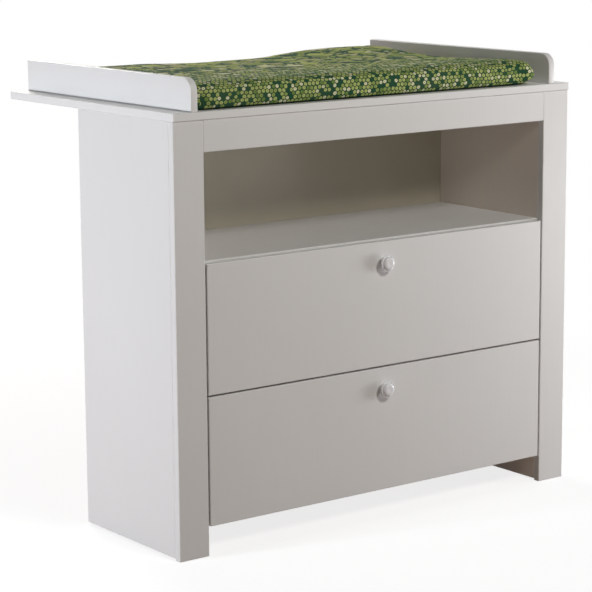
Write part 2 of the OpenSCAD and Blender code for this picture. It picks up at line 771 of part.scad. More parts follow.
changing_board();
guard_rail_left();
guard_rail_right();
guard_rail_screws();
angle_brackets();
angle_bracket_screws();
wall_brackets();
wall_bracket_screws();
side_panel_left();
side_panel_right();
inner_side_left();
inner_side_right();
side_battens_left();
side_battens_right();
stile_left();
stile_right();
front_rail();
rear_rail();
shelf();
base_panel();
back_panel();
back_panel_screws();
floor_glides();
cam_bolts();
cam_nuts();
dowels();
changing_mat();
cabinet_runner(-1, upper_z + box_lift);  // cabinet_runner_upper_left
cabinet_runner(1, upper_z + box_lift);  // cabinet_runner_upper_right
cabinet_runner(-1, lower_z + box_lift);  // cabinet_runner_lower_left
cabinet_runner(1, lower_z + box_lift);  // cabinet_runner_lower_right
cabinet_roller(-1, upper_z + box_lift);  // cabinet_roller_upper_left
cabinet_roller(1, upper_z + box_lift);  // cabinet_roller_upper_right
cabinet_roller(-1, lower_z + box_lift);  // cabinet_roller_lower_left
cabinet_roller(1, lower_z + box_lift);  // cabinet_roller_lower_right
cabinet_runner_screws();
drawer_front(upper_z);  // upper_drawer_front
drawer_side(-1, upper_z);  // upper_drawer_side_left
drawer_side(1, upper_z);  // upper_drawer_side_right
drawer_back(upper_z);  // upper_drawer_back
drawer_bottom(upper_z);  // upper_drawer_bottom
knob(upper_z);  // upper_drawer_knob
knob_screw(upper_z);  // upper_drawer_knob_screw
drawer_runner(-1, upper_z + box_lift);  // upper_drawer_runner_left
drawer_runner(1, upper_z + box_lift);  // upper_drawer_runner_right
drawer_roller(-1, upper_z + box_lift);  // upper_drawer_roller_left
drawer_roller(1, upper_z + box_lift);  // upper_drawer_roller_right
drawer_fixings(upper_z);  // upper_drawer_fixings
drawer_front(lower_z);  // lower_drawer_front
drawer_side(-1, lower_z);  // lower_drawer_side_left
drawer_side(1, lower_z);  // lower_drawer_side_right
drawer_back(lower_z);  // lower_drawer_back
drawer_bottom(lower_z);  // lower_drawer_bottom
knob(lower_z);  // lower_drawer_knob
knob_screw(lower_z);  // lower_drawer_knob_screw
drawer_runner(-1, lower_z + box_lift);  // lower_drawer_runner_left
drawer_runner(1, lower_z + box_lift);  // lower_drawer_runner_right
drawer_roller(-1, lower_z + box_lift);  // lower_drawer_roller_left
drawer_roller(1, lower_z + box_lift);  // lower_drawer_roller_right
drawer_fixings(lower_z);  // lower_drawer_fixings
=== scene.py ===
import math
import bpy
import bmesh
from mathutils import Matrix, Vector, noise


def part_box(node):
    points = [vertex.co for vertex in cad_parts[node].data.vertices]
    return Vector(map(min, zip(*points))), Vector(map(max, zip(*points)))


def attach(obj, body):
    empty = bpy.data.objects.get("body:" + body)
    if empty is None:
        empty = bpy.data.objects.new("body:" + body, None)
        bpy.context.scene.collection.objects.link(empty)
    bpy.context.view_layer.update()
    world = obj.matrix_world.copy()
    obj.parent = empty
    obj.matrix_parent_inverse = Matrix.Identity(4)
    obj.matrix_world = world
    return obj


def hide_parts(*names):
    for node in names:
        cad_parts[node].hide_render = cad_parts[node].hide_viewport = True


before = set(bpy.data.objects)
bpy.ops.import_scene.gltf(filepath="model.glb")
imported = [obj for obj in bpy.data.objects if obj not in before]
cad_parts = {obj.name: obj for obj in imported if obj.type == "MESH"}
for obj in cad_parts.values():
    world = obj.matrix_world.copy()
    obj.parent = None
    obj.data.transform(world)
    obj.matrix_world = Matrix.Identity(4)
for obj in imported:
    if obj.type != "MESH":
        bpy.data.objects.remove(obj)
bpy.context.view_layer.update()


# ---- The chest: side panels, stiles, rails, shelf and base ----
# 16 mm chipboard coated in white melamine with a faint pearl grain, its shown edges banded in
# a slightly brighter strip, with a painted highlight on their chamfered arrises. The edges
# that face the floor and the back panel are left raw.

def start_finish(name):
    """A new node material, with its shader."""
    finish = bpy.data.materials.new(name)
    finish.use_nodes = True
    return finish, finish.node_tree.nodes["Principled BSDF"]


def put(finish, kind, inputs=None, **settings):
    """Adds a node, sets it up, and joins or sets its inputs."""
    node = finish.node_tree.nodes.new("ShaderNode" + kind)
    for key, value in settings.items():
        setattr(node, key, value)
    for key, value in (inputs or {}).items():
        plug(finish, node.inputs[key], value)
    return node


def plug(finish, socket, value):
    """Joins a node's output to a socket, or sets the socket to a value."""
    if isinstance(value, bpy.types.NodeSocket):
        finish.node_tree.links.new(value, socket)
    else:
        socket.default_value = value


def calc(finish, operation, a, b=0.0, c=0.0):
    return put(finish, "Math", {0: a, 1: b, 2: c}, operation=operation).outputs[0]


def fade(finish, value, low, high, to_low=0.0, to_high=1.0):
    """A smooth step from to_low to to_high as the value goes from low to high."""
    return put(finish, "MapRange", {"Value": value, "From Min": low, "From Max": high,
                                    "To Min": to_low, "To Max": to_high},
               interpolation_type="SMOOTHSTEP").outputs["Result"]


def blend(finish, share, a, b):
    """Colour a where the share is 0, and b where it is 1."""
    node = put(finish, "Mix", data_type="RGBA", blend_type="MIX")
    plug(finish, node.inputs["Factor"], share)
    plug(finish, node.inputs["A"], a)
    plug(finish, node.inputs["B"], b)
    return node.outputs["Result"]


def place(finish, stretch=(1, 1, 1)):
    """Coordinates on the piece in metres, stretched along some axes."""
    where = put(finish, "TexCoord").outputs["Object"]
    return put(finish, "Mapping", {"Vector": where, "Scale": stretch}).outputs[0]


def speckle(finish, where, scale, detail=2.0, rough=0.5):
    return put(finish, "TexNoise", {"Vector": where, "Scale": scale, "Detail": detail,
                                    "Roughness": rough}).outputs["Fac"]


def mottle(finish, where, scale, low=0.0, high=1.0, detail=2.0):
    """Soft patches that run from low to high."""
    return fade(finish, speckle(finish, where, scale, detail), 0.3, 0.7, low, high)


def bump(finish, height, depth, strength, under=None):
    """A relief of this depth in metres, over the one under it."""
    node = put(finish, "Bump", {"Height": height, "Distance": depth, "Strength": strength})
    if under:
        plug(finish, node.inputs["Normal"], under)
    return node.outputs["Normal"]


def grey(level, warm=0.0):
    """A grey, with a share more red and less blue."""
    return (level * (1 + warm), level, level * (1 - warm), 1)


def facing(finish):
    """How far the surface turns to +X, +Y and +Z."""
    normal = put(finish, "NewGeometry").outputs["True Normal"]
    turned = put(finish, "SeparateXYZ", {0: normal})
    return [turned.outputs[i] for i in range(3)]


def chips(finish):
    """The look of raw chipboard: pressed flakes of light wood."""
    where = place(finish)
    flake = put(finish, "TexVoronoi", {"Vector": where, "Scale": 420.0}).outputs["Color"]
    tone = put(finish, "SeparateXYZ", {0: flake}).outputs[0]
    wood = blend(finish, tone, (0.34, 0.23, 0.13, 1), (0.66, 0.52, 0.34, 1))
    return blend(finish, fade(finish, speckle(finish, where, 900), 0.55, 0.7, 0, 0.6), wood,
                 (0.20, 0.12, 0.06, 1))


def coated(name, level, warm):
    """White coating over chipboard, with banded edges, raw ones, and a painted highlight on
    the chamfered arrises.
    """
    finish, shader = start_finish(name)
    where = place(finish)
    height = put(finish, "SeparateXYZ", {0: where}).outputs[2]
    depth = put(finish, "SeparateXYZ", {0: where}).outputs[1]
    east, north, up = facing(finish)
    # Cloud and long grain
    clouded, strand_tone = level * 0.975, level * 0.955
    tone = blend(finish, mottle(finish, where, 2.6), grey(clouded, warm), grey(level, warm))
    strand = speckle(finish, place(finish, (240, 240, 9)), 1.0, 3)
    tone = blend(finish, fade(finish, strand, 0.35, 0.7, 0, 0.3), tone,
                 grey(strand_tone, warm * 2))
    # Painted highlight: the chamfered arrises are coloured lighter. The edge bands are
    # brighter
    flat = calc(finish, "MAXIMUM", calc(finish, "ABSOLUTE", east),
                calc(finish, "MAXIMUM", calc(finish, "ABSOLUTE", north),
                     calc(finish, "ABSOLUTE", up)))
    arris_painted_highlight = fade(finish, flat, 0.97, 0.85)
    tone = blend(finish, arris_painted_highlight, tone, grey(min(level * 1.07, brightest_coat), warm / 2))
    band = calc(finish, "MULTIPLY", fade(finish, height, board_foot - 0.002, board_foot),
                fade(finish, up, 0.9, 0.6))
    tone = blend(finish, band, tone, grey(min(level * 1.05, brightest_coat)))
    # Raw edges under the panels and behind them
    sole = calc(finish, "MULTIPLY", fade(finish, up, -0.8, -0.95),
                fade(finish, height, highest_sole + 0.01, highest_sole))
    off_back = calc(finish, "ABSOLUTE", calc(finish, "SUBTRACT", depth, back_face))
    rear = calc(finish, "MULTIPLY", fade(finish, north, 0.8, 0.95),
                fade(finish, off_back, 0.006, 0.005))
    bare = calc(finish, "MAXIMUM", sole, rear)
    tone = blend(finish, bare, tone, chips(finish))
    plug(finish, shader.inputs["Base Color"], tone)
    sheen = mottle(finish, where, 45, 0.36, 0.46, 3)
    plug(finish, shader.inputs["Roughness"],
         calc(finish, "ADD", sheen, calc(finish, "MULTIPLY", bare, 0.4)))
    pearl = bump(finish, speckle(finish, where, 1100, 1), 0.00006, 0.5)
    plug(finish, shader.inputs["Normal"],
         bump(finish, speckle(finish, where, 5, 1), 0.0006, 0.35, pearl))
    shader.inputs["Specular IOR Level"].default_value = 0.42
    return finish


def dress(finish, *names):
    """Gives CAD nodes their finish."""
    for name in names:
        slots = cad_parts[name].material_slots
        for slot in slots:
            slot.material = finish
        if not slots:
            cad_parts[name].data.materials.append(finish)


# The board and its rails are banded all round, from the board's underside up
board_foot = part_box("changing_board")[0].z
# Edges that face the back are left raw where they meet the back panel
back_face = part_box("back_panel")[0].y
# Edges that face down are left raw up to this height
highest_sole = 0.08
brightest_coat = 0.92
white_coating = coated("white_coating_banded", 0.80, 0.004)
dress(white_coating, "side_panel_left", "side_panel_right", "stile_left", "stile_right",
      "front_rail", "rear_rail", "shelf", "base_panel")
# The inner sides are the white coating painted a little darker and much warmer: painted shade
# for the dim, warmly lit compartment
dress(coated("inside_coating_painted_warm_shade", 0.78, 0.085), "inner_side_left", "inner_side_right")


# ---- Back panel and drawer bottoms ----
# Thin hardboard, lacquered white on the face that shows inside the chest and the drawers, that
# face painted a darker warm beige as painted shade, and left as brown pressed fibre on the
# other. The back is screwed on, and the bottoms slide in grooves.

def hardboard():
    finish, shader = start_finish("hardboard_white_face_painted_shade")
    where = place(finish)
    north, up = facing(finish)[1:]
    fibre = speckle(finish, place(finish, (1, 1, 0.35)), 520, 5, 0.7)
    brown = blend(finish, fade(finish, fibre, 0.3, 0.72), (0.13, 0.07, 0.035, 1),
                  (0.34, 0.21, 0.11, 1))
    brown = blend(finish, fade(finish, speckle(finish, where, 7), 0.35, 0.7, 0, 0.35), brown,
                  (0.16, 0.09, 0.05, 1))
    # The white lacquered face is painted a darker warm beige: painted shade for the dim
    # compartment and drawers
    white = blend(finish, mottle(finish, where, 5), (0.54, 0.50, 0.40, 1),
                  (0.58, 0.54, 0.44, 1))
    raw = calc(finish, "MAXIMUM", fade(finish, north, 0.3, 0.6), fade(finish, up, -0.3, -0.6))
    plug(finish, shader.inputs["Base Color"], blend(finish, raw, white, brown))
    plug(finish, shader.inputs["Roughness"],
         calc(finish, "ADD", mottle(finish, where, 80, 0.45, 0.55),
              calc(finish, "MULTIPLY", raw, 0.25)))
    mesh_side = calc(finish, "MULTIPLY", fibre, calc(finish, "ADD", raw, 0.25))
    plug(finish, shader.inputs["Normal"], bump(finish, mesh_side, 0.0003, 0.6))
    return finish


dress(hardboard(), "back_panel", "upper_drawer_bottom", "lower_drawer_bottom")


# ---- Battens between the doubled sides, and the dowels ----
# Raw chipboard strips that hold each outer side to its inner one, and turned beech dowels that
# locate the stiles, rails and shelf. Both are glued in and hardly show.

raw_chipboard, shader = start_finish("raw_chipboard_strips")
plug(raw_chipboard, shader.inputs["Base Color"], chips(raw_chipboard))
shader.inputs["Roughness"].default_value = 0.85
plug(raw_chipboard, shader.inputs["Normal"],
     bump(raw_chipboard, speckle(raw_chipboard, place(raw_chipboard), 700, 4), 0.0006, 0.8))
dress(raw_chipboard, "side_battens_left", "side_battens_right")

beech, shader = start_finish("turned_beech")
ray = speckle(beech, place(beech, (40, 900, 900)), 1.0, 4)
plug(beech, shader.inputs["Base Color"],
     blend(beech, fade(beech, ray, 0.3, 0.7), (0.42, 0.25, 0.13, 1), (0.62, 0.42, 0.25, 1)))
shader.inputs["Roughness"].default_value = 0.6
plug(beech, shader.inputs["Normal"], bump(beech, ray, 0.0002, 0.5))
dress(beech, "dowels")


# ---- Changing board and its guard rails ----
# The deep top board is the same coated chipboard, banded all round. Its two end rails are
# 16 mm boards with one rounded front corner and softly rounded edges, screwed on from below.

rail_corner = 0.027
rail_edge = 0.0016
dress(white_coating, "changing_board")


def sharp_edges(bm):
    return [e for e in bm.edges if e.is_manifold and e.calc_face_angle() > 1.0]


def round_off(bm, edges, radius, segments):
    bmesh.ops.bevel(bm, geom=edges, offset=radius, segments=segments, profile=0.5,
                    affect="EDGES", material=-1)


def make_piece(name, bm, finish, body, smooth_angle):
    """Turns a bmesh into a piece that rides on a body."""
    bmesh.ops.recalc_face_normals(bm, faces=bm.faces)
    mesh = bpy.data.meshes.new(name)
    bm.to_mesh(mesh)
    bm.free()
    mesh.polygons.foreach_set("use_smooth", [True] * len(mesh.polygons))
    mesh.set_sharp_from_angle(angle=smooth_angle)
    mesh.materials.append(finish)
    piece = bpy.data.objects.new(name, mesh)
    bpy.context.scene.collection.objects.link(piece)
    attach(piece, body)
    return piece


def block_between(bm, low, high):
    bmesh.ops.create_cube(bm, size=1)
    bmesh.ops.scale(bm, vec=high - low, verts=bm.verts)
    bmesh.ops.translate(bm, vec=(low + high) / 2, verts=bm.verts)


for side in ("left", "right"):
    low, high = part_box("guard_rail_" + side)
    bm = bmesh.new()
    block_between(bm, low, high)
    corner = [e for e in bm.edges
              if all((v.co - Vector((v.co.x, low.y, high.z))).length < 1e-4 for v in e.verts)]
    round_off(bm, corner, rail_corner, 14)
    round_off(bm, sharp_edges(bm), rail_edge, 3)
    rail = make_piece("guard_rail_rounded_" + side, bm, white_coating, "chest",
                      0.7)
    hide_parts("guard_rail_" + side)


# ---- The changing mat ----
# A soft foam pad in a smooth cotton cover, sewn at its four corners, that lies loose on the
# board. The cover is printed with rows of little dots in greens and cream, and with larger
# discs further back. Its underside is plain, and nearly black up to its seam as painted shade
# along the mat's foot.

mat_lo, mat_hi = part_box("changing_mat")
# Rounding of its corners, seen from above, and of its upper and lower edges
mat_plan = 0.030
mat_soft = 0.013
# How much wider, longer to the right and lower it starts, before the cover swells
mat_spare = 0.0045
mat_end_spare = 0.005
mat_rise = 0.003
# Voxels of the remesh, and how the cover swells: points up to this height are held, and no
# point moves further than the cap
mat_grain = 0.008
mat_held = 0.0015
mat_cap = 0.0065
mat_steps = 20
# The right end: it curls up from the board over this length, its underside lifts, its top
# leans in from this share of its height up, and its foot stands out
mat_curl = 0.06
mat_lift = 0.005
mat_lean = 0.021
mat_lean_from = 0.35
mat_foot = 0.008
# Slight waves in the top and the sides
mat_top_wave = 0.0015
mat_side_wave = 0.0018
# The plain dark underside of the cover comes up to a seam at this height; its near-black
# colour is painted shade along the mat's foot
mat_shade_seam = 0.0045
# Height of the mat's front edge, and of its back edge along its length: foam that has settled
# in the middle
mat_front = 0.0525
mat_crown = ((-0.46, 0.047), (-0.30, 0.0465), (-0.10, 0.0425), (0.06, 0.0435), (0.20, 0.0470),
             (0.32, 0.0475), (0.44, 0.0475))
# The right end's back corner stands up, and the middle of that end has settled
mat_corner_rise = 0.009
mat_end_sag = 0.006


def smooth_step(value, low, high):
    t = min(max((value - low) / (high - low), 0), 1)
    return t * t * (3 - 2 * t)


def crown(x):
    """The mat's thickness at x, on a smooth line through its settled heights."""
    for (x0, z0), (x1, z1) in zip(mat_crown, mat_crown[1:]):
        if x <= x1:
            return z0 + (z1 - z0) * smooth_step(x, x0, x1)
    return mat_crown[-1][1]


def end_shape(x, back):
    """How much higher the top is near the right end, from its front, 0, to its back, 1."""
    corner = smooth_step(x, 0.02, 0.32) * smooth_step(back, 0.60, 0.98)
    middle = smooth_step(x, 0.22, 0.42) * smooth_step(1 - abs(back - 0.46) / 0.42, 0, 1)
    return mat_corner_rise * corner - mat_end_sag * middle


def baked(piece):
    """A plain mesh of the piece as its modifiers leave it."""
    seen = bpy.context.evaluated_depsgraph_get()
    seen.update()
    return bpy.data.meshes.new_from_object(piece.evaluated_get(seen))


def mat_shape():
    """The pad before its cover swells."""
    spare = Vector((mat_spare, mat_spare, 0))
    bm = bmesh.new()
    block_between(bm, mat_lo - spare, mat_hi + spare + Vector((mat_end_spare, 0, 0)))
    upright = [e for e in bm.edges if abs(e.verts[0].co.z - e.verts[1].co.z) > mat_soft]
    round_off(bm, upright, mat_plan, 6)
    round_off(bm, sharp_edges(bm), mat_soft, 5)
    mesh = bpy.data.meshes.new("mat_block")
    bm.to_mesh(mesh)
    bm.free()
    blank = bpy.data.objects.new("mat_block", mesh)
    bpy.context.scene.collection.objects.link(blank)
    even = blank.modifiers.new("even", "REMESH")
    even.mode = "VOXEL"
    even.voxel_size = mat_grain
    grid = baked(blank)
    bpy.data.objects.remove(blank)
    tall = mat_hi.z - mat_lo.z
    for v in grid.vertices:
        up = (v.co.z - mat_lo.z) / tall
        wave = noise.noise(Vector((v.co.x * 7, v.co.y * 9, 0.3)))
        wave += 0.5 * noise.noise(Vector((v.co.x * 19, v.co.y * 23, 4.1)))
        back = min(max((v.co.y - mat_lo.y) / (mat_hi.y - mat_lo.y), 0), 1)
        high = mat_front + (crown(v.co.x) - mat_front) * back ** 0.6 - mat_rise
        high += mat_top_wave * wave
        high += end_shape(v.co.x, back)
        curl = max(0.0, 1 - (mat_hi.x - v.co.x) / mat_curl)
        v.co.z = mat_lo.z + up * high + (1 - up) * mat_lift * curl * curl
        lean = max(0.0, (up - mat_lean_from) / (1 - mat_lean_from)) ** 2
        v.co.x -= mat_lean * lean * min(curl * 2, 1)
        v.co.x += mat_foot * max(0.0, 1 - up / 0.6) * curl
        sway = noise.noise(Vector((v.co.x * 12, 8.0, up)))
        v.co.y += mat_side_wave * up * (1 - up) * 4 * sway
    return grid


def puffed(grid):
    """The cover under a little air pressure, with the pad's underside held down."""
    piece = bpy.data.objects.new("mat_sim", grid)
    bpy.context.scene.collection.objects.link(piece)
    rest = [v.co.copy() for v in grid.vertices]
    held = piece.vertex_groups.new(name="held")
    for v in grid.vertices:
        if v.co.z < mat_lo.z + mat_held:
            held.add([v.index], 1.0, "REPLACE")
    cloth = piece.modifiers.new("cloth", "CLOTH")
    cloth.settings.quality = 4
    cloth.settings.mass = 0.4
    cloth.settings.tension_stiffness = 20
    cloth.settings.compression_stiffness = 20
    cloth.settings.bending_stiffness = 1.5
    cloth.settings.use_pressure = True
    cloth.settings.uniform_pressure_force = 4
    cloth.settings.vertex_group_mass = "held"
    cloth.settings.effector_weights.gravity = 0
    cloth.point_cache.frame_start, cloth.point_cache.frame_end = 1, mat_steps
    for step in range(1, mat_steps + 1):
        bpy.context.scene.frame_set(step)
    swollen = baked(piece)
    bpy.context.scene.frame_set(1)
    bpy.data.objects.remove(piece)
    for v, start in zip(swollen.vertices, rest):
        move = v.co - start
        if move.length > 1e-9:
            move *= mat_cap * (1 - math.exp(-move.length / mat_cap)) / move.length
        v.co = start + move
        v.co.z = max(v.co.z, mat_lo.z)
    return swollen


def lay_out_cover(mesh):
    """UVs in metres of the cover laid flat, so that the print runs over the edges and meets at
    a seam at each corner. The underside is cut on its own, away from the rest."""
    layer = mesh.uv_layers.new(name="cover")
    ledge = mat_plan - mat_soft
    # The cover's length round a soft edge
    bend = mat_soft * 1.57
    underside_away = 2.0
    flat_lo = Vector((mat_lo.x + mat_plan, mat_lo.y + mat_plan))
    flat_hi = Vector((mat_hi.x - mat_plan, mat_hi.y - mat_plan))
    for face in mesh.polygons:
        cx, cy = face.center.x, face.center.y
        out_x = abs(cx - min(max(cx, flat_lo.x), flat_hi.x))
        out_y = abs(cy - min(max(cy, flat_lo.y), flat_hi.y))
        under = face.normal.z < -0.8
        for loop in face.loop_indices:
            p = mesh.vertices[mesh.loops[loop].vertex_index].co
            if under:
                layer.uv[loop].vector = (p.x, p.y + underside_away)
                continue
            near = Vector((min(max(p.x, flat_lo.x), flat_hi.x),
                           min(max(p.y, flat_lo.y), flat_hi.y)))
            away = Vector((p.x, p.y)) - near
            out = away.length
            drop = max(mat_lo.z + mat_front - p.z, 0) if out > ledge else 0
            run = out
            if out > ledge:
                turn = math.pi / 2
                if drop < mat_soft:
                    turn = math.atan2(out - ledge, max(mat_soft - drop, 1e-6))
                run = ledge + mat_soft * turn + max(drop - mat_soft, 0)
            if out < 1e-9:
                layer.uv[loop].vector = (p.x, p.y)
                continue
            way = away / out
            flat = near + way * run
            if out_y >= out_x:
                turn = math.atan2(abs(away.x), abs(away.y)) * math.copysign(1, away.x)
                side = Vector((near.x + mat_plan * turn, near.y + math.copysign(run, away.y)))
            else:
                turn = math.atan2(abs(away.y), abs(away.x)) * math.copysign(1, away.y)
                side = Vector((near.x + math.copysign(run, away.x), near.y + mat_plan * turn))
            layer.uv[loop].vector = flat.lerp(side, smooth_step(run - ledge, 0, bend))


# Rows of dots lie this share of the dots' pitch apart, so that the dots pack evenly
row_step = 0.866


def dots(finish, u, v, pitch, size, seed, jitter):
    """Rows of round dots, every other row half a step along: (distance from the nearest dot's
    middle, as a share of its size, three random numbers for that dot, and where it is)."""
    line = calc(finish, "DIVIDE", v, pitch * row_step)
    row = calc(finish, "FLOOR", line)
    along = calc(finish, "ADD", calc(finish, "DIVIDE", u, pitch),
                 calc(finish, "MULTIPLY", calc(finish, "FLOORED_MODULO", row, 2.0), 0.5))
    col = calc(finish, "FLOOR", along)
    cell = put(finish, "CombineXYZ", {0: col, 1: row, 2: seed}).outputs[0]
    chance = put(finish, "SeparateXYZ",
                 {0: put(finish, "TexWhiteNoise", {"Vector": cell}).outputs["Color"]}).outputs
    dx = calc(finish, "SUBTRACT", calc(finish, "FRACT", along),
              calc(finish, "MULTIPLY_ADD", chance[0], jitter, 0.5 - jitter / 2))
    dy = calc(finish, "SUBTRACT", calc(finish, "FRACT", line),
              calc(finish, "MULTIPLY_ADD", chance[1], jitter, 0.5 - jitter / 2))
    away = put(finish, "VectorMath", {0: put(finish, "CombineXYZ", {
        0: dx, 1: calc(finish, "MULTIPLY", dy, row_step)}).outputs[0]}, operation="LENGTH")
    far = calc(finish, "DIVIDE", away.outputs["Value"], size)
    spot = put(finish, "VectorMath", {0: cell, 1: (pitch, pitch * row_step, 0)},
               operation="MULTIPLY").outputs[0]
    return far, chance, spot


def pick(finish, value, *steps):
    """A flat colour for each range of a random number."""
    ramp = put(finish, "ValToRGB", {0: value})
    ramp.color_ramp.interpolation = "CONSTANT"
    for k, (start, colour) in enumerate(steps):
        stop = ramp.color_ramp.elements[k] if k < 2 else ramp.color_ramp.elements.new(start)
        stop.position, stop.color = start, (*colour, 1)
    return ramp.outputs[0]


dark_green = (0.022, 0.084, 0.046)
leaf_green = (0.21, 0.31, 0.075)
olive = (0.34, 0.42, 0.12)
lime = (0.53, 0.60, 0.20)
khaki = (0.56, 0.54, 0.28)
cream = (0.84, 0.83, 0.55)
# Plain underside colour, kept nearly black as painted shade along the mat's foot
underside_shade_green = (0.010, 0.036, 0.020)
# The little dots: their pitch, their radius as a share of it, and how far apart rows draw
dot_pitch = 0.0101
dot_radius = 0.42
row_stretch = 1.12
thread_pitch = 0.0007
# The larger discs, each kind printed over the one before: the pitch and turn of its rows, its
# seed, how far back it begins, how many of its places stay empty, and its edge's softness
disc_kinds = ((0.021, 0.35, 7.0, -0.14, 0.84, 0.03),
              (0.036, 1.1, 5.0, -0.05, 0.90, 0.02),
              (0.062, 0.7, 3.0, 0.03, 0.86, 0.01))


def swayed(finish, uv, scale, reach):
    """The print's coordinates, shifted to and fro, so that its rows aren't quite straight."""
    sway = put(finish, "TexNoise", {"Vector": uv, "Scale": scale, "Detail": 1.0})
    return put(finish, "VectorMath", {0: sway.outputs["Color"], 1: (reach, reach, 0.0), 2: uv},
               operation="MULTIPLY_ADD").outputs[0]


def printed_cotton():
    finish, shader = start_finish("dotted_cotton")
    uv = put(finish, "UVMap", uv_map="cover").outputs[0]
    parts = put(finish, "SeparateXYZ", {0: swayed(finish, uv, 30.0, 0.007)})
    u, v = parts.outputs[0], calc(finish, "MULTIPLY", parts.outputs[1], row_stretch)
    # Little dots, with more places left empty towards the back
    ragged = calc(finish, "MULTIPLY_ADD", speckle(finish, uv, 11, 1), 0.14, parts.outputs[1])
    far, chance, spot = dots(finish, u, v, dot_pitch, dot_radius, 1.0, 0.12)
    there = calc(finish, "MULTIPLY_ADD", speckle(finish, spot, 70, 1), 1.5, chance[2])
    there = calc(finish, "GREATER_THAN", there, fade(finish, ragged, -0.10, 0.10, 0.88, 1.45))
    ink = pick(finish, chance[0], (0.0, cream), (0.19, olive), (0.42, lime),
               (0.90, leaf_green))
    ring = blend(finish, fade(finish, far, 0.34, 0.18, 0, 0.55), ink, (*dark_green, 1))
    ring = blend(finish, fade(finish, far, 0.76, 1.0, 0, 0.5), ring, (*dark_green, 1))
    little = calc(finish, "MULTIPLY", there, fade(finish, far, 1.05, 0.95))
    tone = blend(finish, little, (*dark_green, 1), ring)
    # Larger discs over them, each darker towards its rim
    sway = swayed(finish, uv, 7.0, 0.014)
    for pitch, turn, seed, start, share, edge in disc_kinds:
        turned = put(finish, "VectorRotate", {"Vector": sway, "Angle": turn},
                     rotation_type="Z_AXIS").outputs[0]
        parts = put(finish, "SeparateXYZ", {0: turned}).outputs
        far, chance, spot = dots(finish, parts[0], parts[1], pitch, 0.5, seed, 0.06)
        reach = fade(finish, chance[1], 0.0, 1.0, 0.60, 0.83)
        there = calc(finish, "ADD", speckle(finish, spot, 0.6 / pitch, 1), chance[2])
        there = calc(finish, "GREATER_THAN", there, share)
        at = put(finish, "VectorRotate", {"Vector": spot, "Angle": turn},
                 rotation_type="Z_AXIS", invert=True).outputs[0]
        back = calc(finish, "MULTIPLY_ADD", chance[0], 0.10,
                    put(finish, "SeparateXYZ", {0: at}).outputs[1])
        there = calc(finish, "MULTIPLY", there, calc(finish, "GREATER_THAN", back, start))
        disc = fade(finish, calc(finish, "SUBTRACT", far, reach), edge, -edge)
        ink = pick(finish, chance[0], (0.0, khaki), (0.17, olive), (0.42, lime),
                   (0.68, dark_green), (0.85, cream))
        rim = fade(finish, calc(finish, "SUBTRACT", reach, far), 0.12, 0.0, 0, 0.3)
        ink = blend(finish, rim, ink, (*dark_green, 1))
        tone = blend(finish, calc(finish, "MULTIPLY", there, disc), tone, ink)
    # Slightly uneven dye, and the plain underside, nearly black as painted shade along the
    # foot
    tone = blend(finish, fade(finish, speckle(finish, uv, 8, 3), 0.35, 0.7, 0.0, 0.10), tone,
                 (0.20, 0.22, 0.10, 1))
    height = put(finish, "SeparateXYZ", {0: place(finish)}).outputs[2]
    # Below the seam the cover is painted nearly black: painted shade along the mat's foot
    sole = fade(finish, height, mat_lo.z + mat_shade_seam, mat_lo.z + mat_shade_seam - 0.001)
    plug(finish, shader.inputs["Base Color"], blend(finish, sole, tone, (*underside_shade_green, 1)))
    plug(finish, shader.inputs["Roughness"], mottle(finish, uv, 60, 0.74, 0.86, 3))
    shader.inputs["Sheen Weight"].default_value = 0.02
    shader.inputs["Sheen Roughness"].default_value = 0.5
    shader.inputs["Specular IOR Level"].default_value = 0.05
    # Threads over slight creases
    thread = 2 * math.pi / thread_pitch
    weave = calc(finish, "MULTIPLY",
                 calc(finish, "SINE", calc(finish, "MULTIPLY", u, thread)),
                 calc(finish, "SINE", calc(finish, "MULTIPLY", v, thread)))
    creases = bump(finish, speckle(finish, uv, 16, 3, 0.6), 0.0022, 0.45)
    plug(finish, shader.inputs["Normal"], bump(finish, weave, 0.00007, 0.6, creases))
    return finish


pad = mat_shape()
pad = puffed(pad)
lay_out_cover(pad)
pad.name = "changing_mat_cover"
pad.materials.clear()
pad.materials.append(printed_cotton())
pad.polygons.foreach_set("use_smooth", [True] * len(pad.polygons))
mat = bpy.data.objects.new("changing_mat_padded", pad)
bpy.context.scene.collection.objects.link(mat)
rounder = mat.modifiers.new("rounder", "SUBSURF")
rounder.levels = rounder.render_levels = 1
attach(mat, "mat")
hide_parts("changing_mat")


# ---- The drawers ----
# Coated fronts like the chest's, on boxes of thin chipboard wrapped in white paper foil. The
# sides and back are screwed together, and the front is held to the sides by cam fittings.

dress(white_coating, "upper_drawer_front", "lower_drawer_front")
white_foil, shader = start_finish("white_paper_foil")
where = place(white_foil)
fine_grain = mottle(white_foil, place(white_foil, (6, 6, 90)), 6, detail=3)
plug(white_foil, shader.inputs["Base Color"],
     blend(white_foil, fine_grain, grey(0.74, 0.012), grey(0.78, 0.008)))
plug(white_foil, shader.inputs["Roughness"], mottle(white_foil, where, 70, 0.50, 0.60))
plug(white_foil, shader.inputs["Normal"],
     bump(white_foil, speckle(white_foil, where, 800), 0.00008, 0.5))
for level in ("upper", "lower"):
    for part in ("side_left", "side_right", "back"):
        dress(white_foil, f"{level}_drawer_{part}")


# ---- The knobs ----
# One round mushroom knob in the middle of each drawer front: turned and lacquered glossy
# white, with a thin ring, a groove, and a domed face that stands out from the ring. A screw
# through the front holds it.

